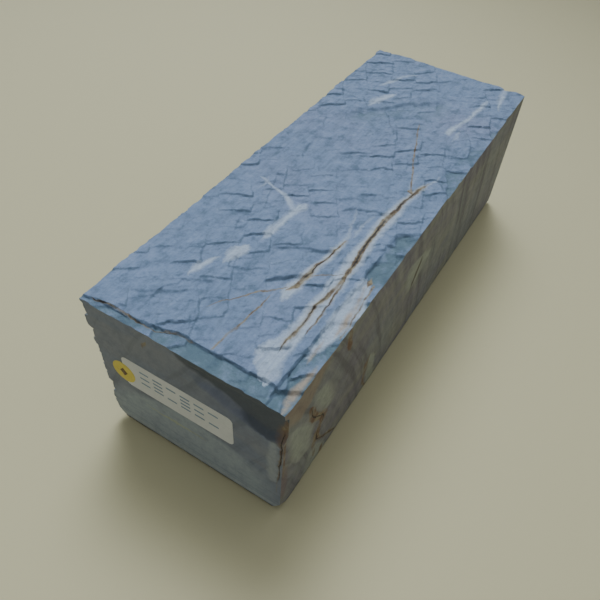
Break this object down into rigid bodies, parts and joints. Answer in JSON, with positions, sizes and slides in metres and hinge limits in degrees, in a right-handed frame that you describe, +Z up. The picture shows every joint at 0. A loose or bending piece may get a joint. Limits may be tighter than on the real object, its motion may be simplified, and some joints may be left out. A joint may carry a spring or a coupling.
{
  "type": "sharpening whetstone",
  "caption": "Natural slate bench whetstone with a flat working face underneath, a split stepped flank, a cleft skin on top, and a paper label and round sticker on a sawn end.",
  "frame": {"origin": "middle of the base rectangle, on the working face that the stone lies on", "axes": "+X along the stone from the labelled end to the far end, +Y across it to the split flank, +Z up from the working face to the cleft skin"},
  "size_m": [0.2052, 0.075, 0.0625],
  "materials": {
    "slate": "matte",
    "label_paper": "satin",
    "sticker_paper": "satin"
  },
  "bodies": {
    "root": {"stone_block": "slate", "paper_label": "label_paper", "round_sticker": "sticker_paper"}
  },
  "joints": []
}
